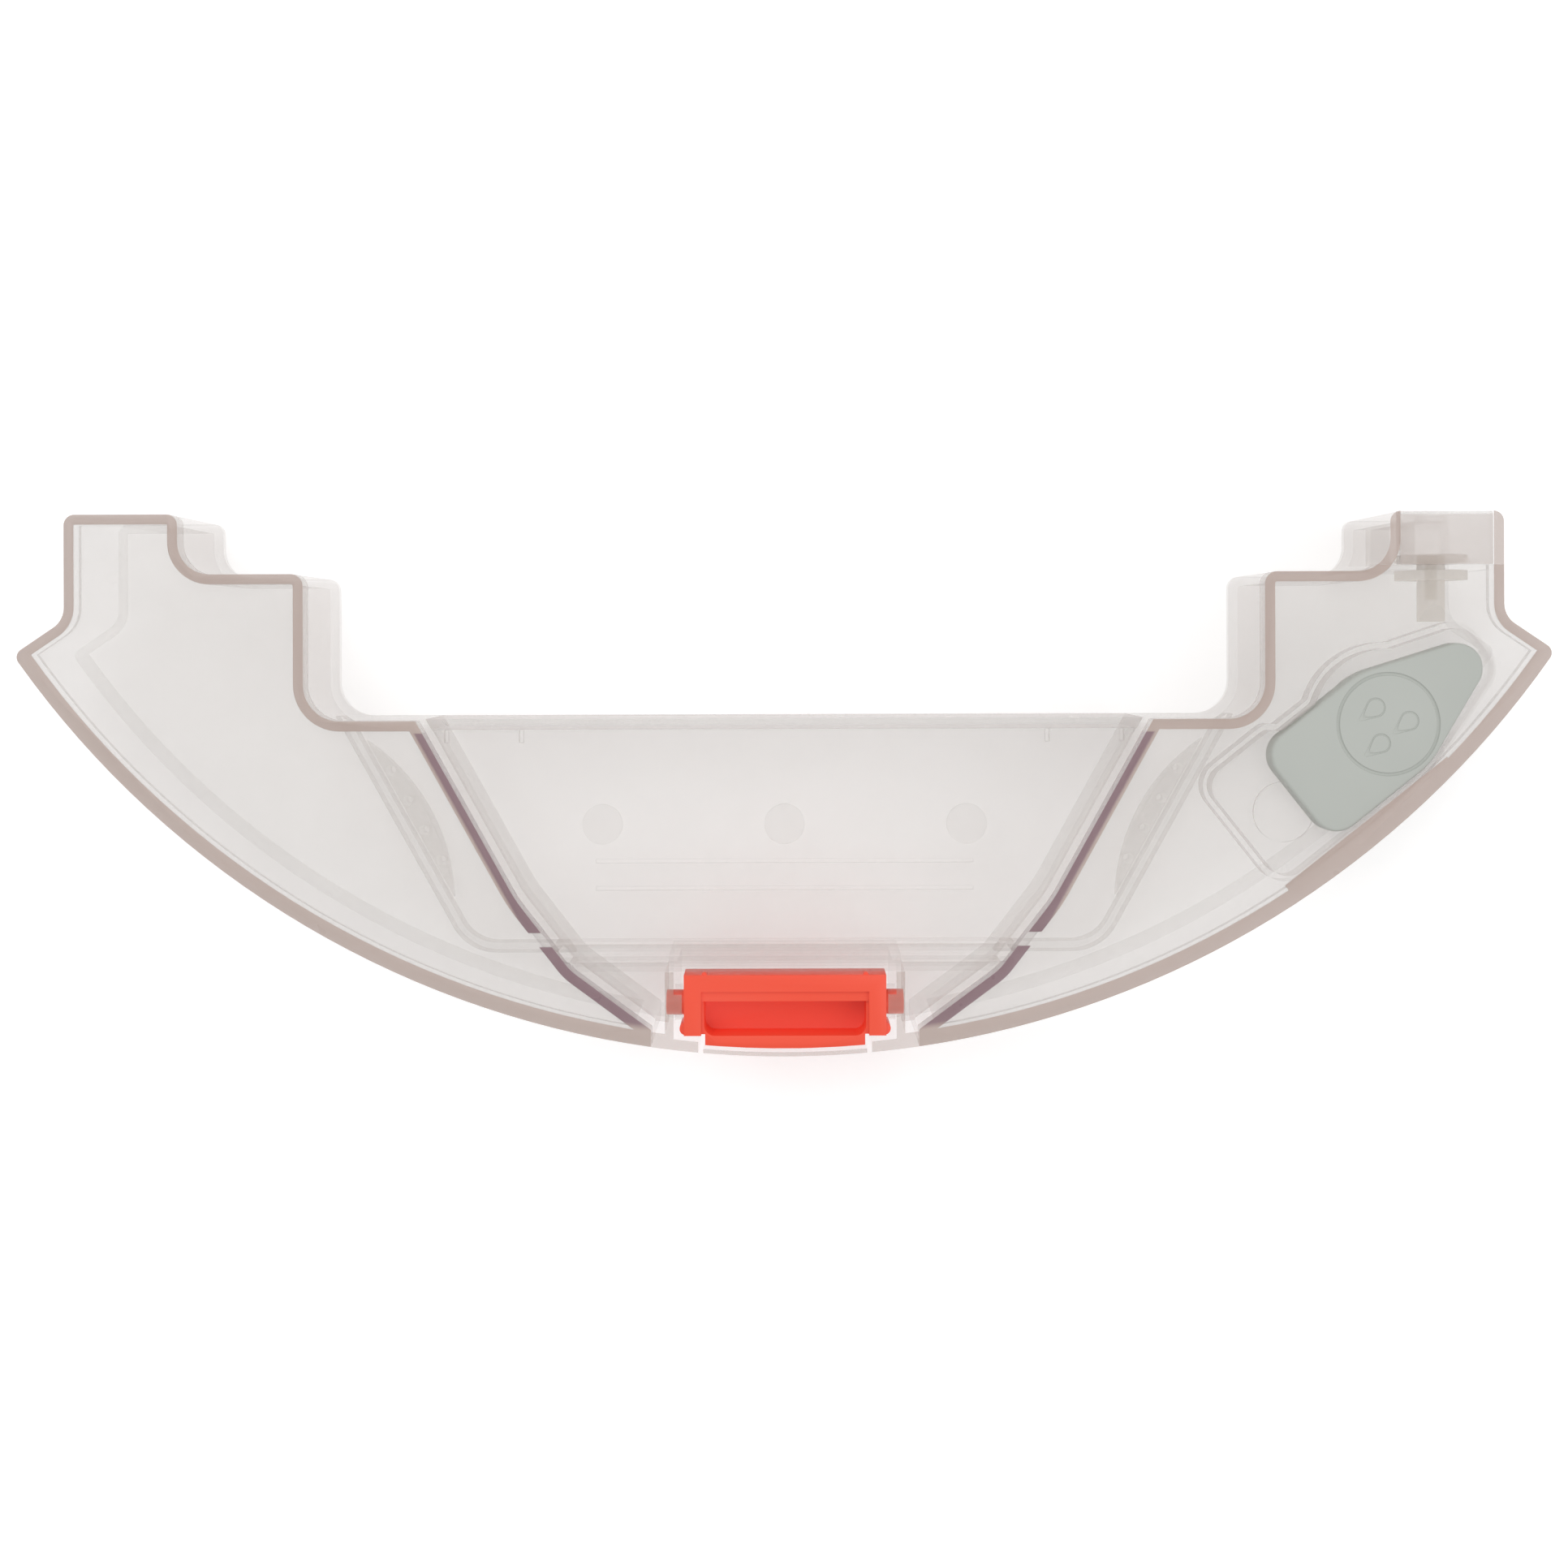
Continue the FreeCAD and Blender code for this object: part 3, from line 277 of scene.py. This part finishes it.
def soft_rubber(name, dark, light, alpha=1.0):
    """Matte moulded rubber with a fine grain."""
    f = Finish(name)
    grain = f.noise(900, 5, 0.6)
    cloud = f.noise(45, 2)
    return f.done(Base_Color=f.mix(cloud, dark, light), Roughness=0.55 + grain * 0.15,
                  Sheen_Weight=0.15, Alpha=alpha, Normal=f.bump(grain, 0.03 * MM, 0.35))


def latch_plastic():
    """Glossy orange plastic, with painted shade darkening it where the finger recess turns down."""
    f = Finish("latch orange plastic")
    grain = f.noise(600, 4, 0.6)
    cloud = f.noise(60, 2)
    # painted shade: below its top, where the finger recess turns down, the lever is mixed towards a darker
    # orange
    recess_shade = 1 - f.z.above(LATCH_TOP_Z, 4 * MM)
    colour = f.mix(cloud, srgb(255, 92, 66), srgb(255, 86, 60))
    colour = f.mix(recess_shade * 0.3, colour, srgb(250, 78, 58))
    return f.done(Base_Color=colour, Roughness=0.34 + grain * 0.1, Subsurface_Weight=0.1,
                  Subsurface_Radius=(2 * MM, 1 * MM, 0.5 * MM), Normal=f.bump(grain, 0.02 * MM, 0.3))


def plain_plastic(name, colour, alpha=1.0):
    f = Finish(name)
    grain = f.noise(500, 4)
    return f.done(Base_Color=f.mix(grain, colour, tuple(min(c * 1.08, 1) for c in colour[:3]) + (1.0,)),
                  Roughness=0.45 + grain * 0.1, Alpha=alpha, Normal=f.bump(grain, 0.02 * MM, 0.25))


def filter_felt():
    f = Finish("filter felt")
    fibre = f.noise(2500, 5, 0.7)
    return f.done(Base_Color=f.mix(fibre, srgb(232, 228, 224), srgb(246, 243, 240)), Roughness=0.9, Alpha=0.2,
                  Normal=f.bump(fibre, 0.1 * MM, 0.6))


def spring_steel():
    f = Finish("spring steel")
    drawn = f.noise(1200, 3)
    return f.done(Base_Color=f.mix(drawn, srgb(150, 150, 154), srgb(190, 190, 194)), Metallic=1.0,
                  Roughness=0.25 + drawn * 0.15)


def floor_finish():
    f = Finish("studio floor")
    grain = f.noise(8, 2)
    return f.done(Base_Color=f.mix(grain, srgb(246, 246, 246), srgb(250, 250, 250)), Roughness=0.9,
                  Emission_Color=(1, 1, 1, 1), Emission_Strength=0.3)


def deselect():
    if bpy.context.object and bpy.context.object.mode != "OBJECT":
        bpy.ops.object.mode_set(mode="OBJECT")
    bpy.ops.object.select_all(action="DESELECT")


def start_on(piece):
    """Makes this the one selected and active object."""
    deselect()
    piece.select_set(True)
    bpy.context.view_layer.objects.active = piece


def edit(piece, kind="EDGE"):
    start_on(piece)
    bpy.ops.object.mode_set(mode="EDIT")
    bpy.ops.mesh.select_mode(type=kind)
    bpy.ops.mesh.select_all(action="DESELECT")
    bpy.ops.object.mode_set(mode="OBJECT")


def pick(piece, kind, wanted):
    """Selects the faces, edges or vertices whose middle passes the test, and goes to edit mode."""
    edit(piece, kind)
    mesh = piece.data
    if kind == "FACE":
        for face in mesh.polygons:
            face.select = wanted(face.center, face.normal)
    elif kind == "EDGE":
        for e in mesh.edges:
            a, b = (mesh.vertices[i].co for i in e.vertices)
            e.select = wanted((a + b) / 2, b - a)
    else:
        for v in mesh.vertices:
            v.select = wanted(v.co)
    bpy.ops.object.mode_set(mode="EDIT")


def apply_modifier(piece, kind, **settings):
    start_on(piece)
    modifier = piece.modifiers.new(kind.title(), kind)
    for key, value in settings.items():
        setattr(modifier, key, value)
    bpy.ops.object.modifier_apply(modifier=modifier.name)


def smooth(piece, degrees=35):
    start_on(piece)
    bpy.ops.object.shade_smooth_by_angle(angle=math.radians(degrees))


def settle(piece):
    """Puts the piece's place into its mesh."""
    start_on(piece)
    bpy.ops.object.transform_apply(location=True, rotation=True, scale=True)


def finished(piece, name, body, material, replaced=()):
    piece.name = name
    piece.data.name = name
    piece.data.materials.clear()
    piece.data.materials.append(material)
    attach(piece, body)
    if replaced:
        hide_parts(*replaced)
    return piece


def into_place(piece):
    """Turns a piece made in the flap's own frame into the tank's frame."""
    piece.rotation_euler = (0, 0, FLAP_ANGLE)
    piece.location = (FLAP_ORIGIN.x, FLAP_ORIGIN.y, 0)
    settle(piece)


def filler_flap_piece(material):
    """The whole soft flap, with cuts across its living hinge; it is left flat."""
    deselect()
    low, top = FLAP_TOP - FLAP_THICK, FLAP_TOP
    bpy.ops.mesh.primitive_plane_add(size=1, location=(FLAP_STRAIGHT / 2, 0, low))
    flap = bpy.context.object
    flap.scale = (FLAP_STRAIGHT, 2 * FLAP_HALF, 1)
    settle(flap)
    pick(flap, "EDGE", lambda c, d: c.x > FLAP_STRAIGHT - 1e-5)
    bpy.ops.mesh.extrude_region_move(TRANSFORM_OT_translate={"value": (FLAP_LENGTH - FLAP_STRAIGHT, 0, 0)})
    nose = 1 - (FLAP_LENGTH - FLAP_STRAIGHT) * math.tan(FLAP_TAPER) / FLAP_HALF
    bpy.ops.transform.resize(value=(1, nose, 1), center_override=(FLAP_LENGTH, 0, low))
    pick(flap, "EDGE", lambda c, d: abs(c.x - FLAP_STRAIGHT) < 1e-5 and abs(c.y) < 1e-5)
    bpy.ops.mesh.dissolve_edges(use_verts=False)
    for corner_u, reach in FLAP_CORNERS:
        pick(flap, "VERT", lambda c: abs(c.x - corner_u) < 1e-5)
        bpy.ops.mesh.bevel(offset=reach, segments=10, profile=0.5, affect="VERTICES")
    pick(flap, "FACE", lambda c, n: True)
    bpy.ops.mesh.extrude_region_move(TRANSFORM_OT_translate={"value": (0, 0, top - low)})
    pick(flap, "EDGE", lambda c, d: c.z > top - 1e-5)
    bpy.ops.mesh.bevel(offset=FLAP_EDGE_R, segments=4, profile=0.5, affect="EDGES")
    bpy.ops.mesh.select_all(action="SELECT")
    bpy.ops.mesh.normals_make_consistent(inside=False)
    for cutter in emblem_cutters(top):
        apply_modifier(flap, "BOOLEAN", operation="DIFFERENCE", object=cutter, solver="EXACT")
        bpy.data.objects.remove(cutter)
    for step in range(BEND_CUTS):
        edit(flap)
        bpy.ops.object.mode_set(mode="EDIT")
        bpy.ops.mesh.select_all(action="SELECT")
        cut_u = HINGE_U + (step - BEND_CUTS // 2) * BEND_PITCH
        bpy.ops.mesh.bisect(plane_co=(cut_u, 0, top), plane_no=(1, 0, 0))
    bpy.ops.object.mode_set(mode="OBJECT")
    smooth(flap, 40)
    into_place(flap)
    flap.name = flap.data.name = "filler_flap_soft"
    flap.data.materials.append(material)
    reach = FLAP_ALONG * BEND_REACH
    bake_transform(flap)
    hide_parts("filler_flap", "flap_anchor")
    return flap


def emblem_cutters(top):
    """The ring's groove and three drops, as shapes to cut out of the flap's top."""
    cutters = []
    deselect()
    bpy.ops.mesh.primitive_torus_add(location=(EMBLEM_U, 0, top), major_radius=EMBLEM_R,
                                     minor_radius=GROOVE_R, major_segments=96, minor_segments=10)
    cutters.append(bpy.context.object)
    for turn in (90, 210, 330):
        angle = math.radians(turn)
        centre = Vector((EMBLEM_U + DROP_RING_R * math.cos(angle), DROP_RING_R * math.sin(angle), top))
        cutters.append(drop_outline(centre))
    return cutters


def drop_outline(centre):
    """A thin drop-shaped tube, its point to the finger end."""
    deselect()
    bpy.ops.mesh.primitive_torus_add(location=(0, 0, 0), major_radius=DROP_R, minor_radius=DROP_LINE_R,
                                     major_segments=48, minor_segments=8)
    drop = bpy.context.object
    for v in drop.data.vertices:
        if v.co.x < 0:
            along = -v.co.x / DROP_R
            v.co.x -= along ** 3 * DROP_POINT
            v.co.y *= 1 - 0.35 * along ** 2
    drop.location = centre
    settle(drop)
    return drop


def filler_plug_piece(material):
    """The hollow neck under the flap."""
    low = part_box("filler_flap")[0].z
    deselect()
    height = FLAP_TOP - FLAP_THICK + PLUG_ROOT - low
    bpy.ops.mesh.primitive_cone_add(vertices=64, radius1=PLUG_END_R, radius2=PLUG_ROOT_R, depth=height,
                                    end_fill_type="NGON", location=(EMBLEM_U, 0, low + height / 2))
    plug = bpy.context.object
    settle(plug)
    pick(plug, "FACE", lambda c, n: n.z < -0.9)
    bpy.ops.mesh.inset(thickness=PLUG_WALL)
    bpy.ops.mesh.extrude_region_move(TRANSFORM_OT_translate={"value": (0, 0, height - PLUG_ROOF)})
    pick(plug, "EDGE", lambda c, d: abs(d.z) < 1e-6 and c.z < low + 1e-5)
    bpy.ops.mesh.bevel(offset=PLUG_EDGE_R, segments=3, profile=0.5, affect="EDGES")
    bpy.ops.object.mode_set(mode="OBJECT")
    smooth(plug, 40)
    into_place(plug)
    return finished(plug, "filler_plug", "flap", material)


def rounded_copy(node, width, material):
    """A copy of a hard node with its edges rounded, which stands for it."""
    deselect()
    piece = nodes[node].copy()
    piece.data = nodes[node].data.copy()
    bpy.context.scene.collection.objects.link(piece)
    piece.parent = None
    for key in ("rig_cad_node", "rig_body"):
        if key in piece:
            del piece[key]
    edit(piece)
    bpy.ops.object.mode_set(mode="EDIT")
    bpy.ops.mesh.select_all(action="SELECT")
    bpy.ops.mesh.remove_doubles(threshold=0.002 * MM)
    bpy.ops.mesh.dissolve_limited(angle_limit=math.radians(1))
    bpy.ops.object.mode_set(mode="OBJECT")
    apply_modifier(piece, "BEVEL", width=width, segments=2, limit_method="ANGLE",
                   angle_limit=math.radians(35), harden_normals=False, use_clamp_overlap=True)
    smooth(piece, 40)
    return finished(piece, node + "_soft", nodes[node]["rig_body"], material, [node])


def paint(node, material):
    nodes[node].data.materials.clear()
    nodes[node].data.materials.append(material)


def build_camera():
    data = bpy.data.cameras.new("camera")
    data.sensor_width = 36
    data.lens = data.sensor_width * CAMERA_HEIGHT / VIEW_WIDTH
    data.shift_y = CAMERA_SHIFT
    camera = bpy.data.objects.new("camera", data)
    camera.location = (0, CAMERA_Y, TOP_Z + CAMERA_HEIGHT)
    camera.rotation_euler = (0, 0, math.radians(CAMERA_ROLL))
    bpy.context.scene.collection.objects.link(camera)
    bpy.context.scene.camera = camera


def area_light(name, place, size, power):
    """A round soft light aimed at the tank's middle."""
    data = bpy.data.lights.new(name, "AREA")
    data.shape = "DISK"
    data.size = size
    data.energy = power
    light = bpy.data.objects.new(name, data)
    light.location = place
    light.rotation_euler = (-Vector(place)).to_track_quat("-Z", "Y").to_euler()
    bpy.context.scene.collection.objects.link(light)


def build_studio():
    deselect()
    bpy.ops.mesh.primitive_plane_add(size=6, location=(0, 0, -0.3 * MM))
    floor = bpy.context.object
    floor.name = "studio_floor"
    settle(floor)
    floor.data.materials.append(floor_finish())
    world = bpy.data.worlds.new("studio") if not bpy.data.worlds else bpy.data.worlds[0]
    bpy.context.scene.world = world
    world.use_nodes = True
    background = world.node_tree.nodes["Background"]
    background.inputs[0].default_value = (1, 1, 1, 1)
    background.inputs[1].default_value = 0.6
    area_light("key", (-0.5, 0.9, 1.4), size=1.2, power=8)
    area_light("fill", (0.9, -0.3, 1.1), size=1.2, power=4)
    bpy.context.scene.view_settings.view_transform = "Standard"
    bpy.context.scene.cycles.transparent_max_bounces = 32


build_camera()
build_studio()
body_plastic = tank_plastic("tank plastic", 0.08, side_alpha=0.03)
deck_plastic = tank_plastic("deck plastic", 0.14, side_alpha=0.03, raised=0.25, pad_alpha=0.1)
bay_plastic = tank_plastic("latch bay plastic", 0.03, side_alpha=0.02, rim_alpha=0.42)
lip_plastic = tank_plastic("front lip plastic", 0.24)
dam_plastic = tank_plastic("dam plastic", 0.06, side_alpha=0.06)
cover_plastic = tank_plastic("cover plastic", 0.2, mauve_shade=1.0)
gray_rubber = soft_rubber("flap rubber", srgb(182, 186, 180), srgb(193, 196, 190))
cream_rubber = soft_rubber("valve rubber", srgb(236, 228, 216), srgb(244, 238, 230), 0.45)
for node in ("base_plate", "left_base", "right_base", "left_shell", "right_shell", "right_column"):
    paint(node, body_plastic)
paint("centre_deck", deck_plastic)
paint("front_wall", lip_plastic)
paint("latch_bay", bay_plastic)
paint("latch_skin", bay_plastic)
paint("vent_cap", cover_plastic)
paint("air_valve", cream_rubber)
paint("valve_retainer", plain_plastic("retainer plastic", srgb(232, 227, 218), 0.4))
felt = filter_felt()
outlet_plastic = plain_plastic("outlet plastic", srgb(244, 241, 238), 0.1)
for side in ("left", "right"):
    paint(side + "_dam", dam_plastic)
    paint(side + "_outlet_pad", felt)
    paint(side + "_outlet_frame", outlet_plastic)
    paint(side + "_latch_spring", spring_steel())
filler_flap_piece(gray_rubber)
filler_plug_piece(gray_rubber)
rounded_copy("latch_lever", 0.25 * MM, latch_plastic())
rounded_copy("left_cover", 0.2 * MM, cover_plastic)
rounded_copy("right_cover", 0.2 * MM, cover_plastic)
